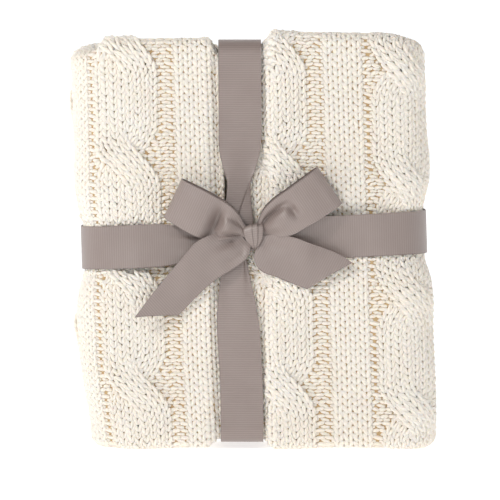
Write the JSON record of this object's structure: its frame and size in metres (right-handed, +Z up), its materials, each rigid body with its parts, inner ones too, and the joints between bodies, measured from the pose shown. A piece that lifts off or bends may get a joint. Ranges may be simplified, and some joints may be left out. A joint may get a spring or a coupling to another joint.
{
  "type": "folded throw blanket",
  "caption": "Cream cable-knit throw, folded into a flat upright stack and tied both ways with a wide ribbon and a bow at the front.",
  "frame": {"origin": "middle of the bounding box's underside, on the surface that the stack stands on", "axes": "+Z up, the front with the bow faces -Y, +X to the right as seen from the front"},
  "size_m": [0.318, 0.108, 0.37],
  "materials": {
    "cable_knit": "soft cream cotton-blend yarn, knitted in cables and purl gutters",
    "grosgrain_ribbon": "matt taupe-grey grosgrain ribbon with fine crosswise ribs"
  },
  "bodies": {
    "tied_throw": {"back_inner_leaf": "cable_knit", "back_outer_leaf": "cable_knit", "left_flap_inner_leaf": "cable_knit", "left_flap_outer_leaf": "cable_knit", "left_fold_inner": "cable_knit", "left_fold_outer": "cable_knit", "ribbon_across_back": "grosgrain_ribbon", "ribbon_across_front_left": "grosgrain_ribbon", "ribbon_across_front_right": "grosgrain_ribbon", "ribbon_across_left_side": "grosgrain_ribbon", "ribbon_across_right_side": "grosgrain_ribbon", "ribbon_knot": "grosgrain_ribbon", "ribbon_up_back": "grosgrain_ribbon", "ribbon_up_front_lower": "grosgrain_ribbon", "ribbon_up_front_upper": "grosgrain_ribbon", "ribbon_up_top": "grosgrain_ribbon", "ribbon_up_underside": "grosgrain_ribbon", "right_flap_inner_leaf": "cable_knit", "right_flap_outer_leaf": "cable_knit", "right_flap_turn": "cable_knit", "right_fold_inner": "cable_knit", "right_fold_outer": "cable_knit"},
    "left_loop": {"bow_left_loop": "grosgrain_ribbon"},
    "right_loop": {"bow_right_loop": "grosgrain_ribbon"},
    "left_tail": {"bow_left_tail": "grosgrain_ribbon"},
    "right_tail": {"bow_right_tail": "grosgrain_ribbon"}
  },
  "joints": [
    {"name": "left_loop_lift", "type": "hinge", "parent": "tied_throw", "child": "left_loop", "pos_m": [-0.01026, -0.038, 0.19645], "axis": [0.4226, 0, 0.9063], "range_deg": [0, 60], "stiffness_Nm_per_rad": 0.01},
    {"name": "right_loop_lift", "type": "hinge", "parent": "tied_throw", "child": "right_loop", "pos_m": [0.01479, -0.038, 0.19879], "axis": [0.5592, 0, -0.829], "range_deg": [0, 60], "stiffness_Nm_per_rad": 0.01},
    {"name": "left_tail_lift", "type": "hinge", "parent": "tied_throw", "child": "left_tail", "pos_m": [-0.00882, -0.038, 0.1803], "axis": [-0.6691, 0, 0.7431], "range_deg": [0, 60], "stiffness_Nm_per_rad": 0.006},
    {"name": "right_tail_lift", "type": "hinge", "parent": "tied_throw", "child": "right_tail", "pos_m": [0.01521, -0.038, 0.18402], "axis": [-0.454, 0, -0.891], "range_deg": [0, 60], "stiffness_Nm_per_rad": 0.006}
  ]
}
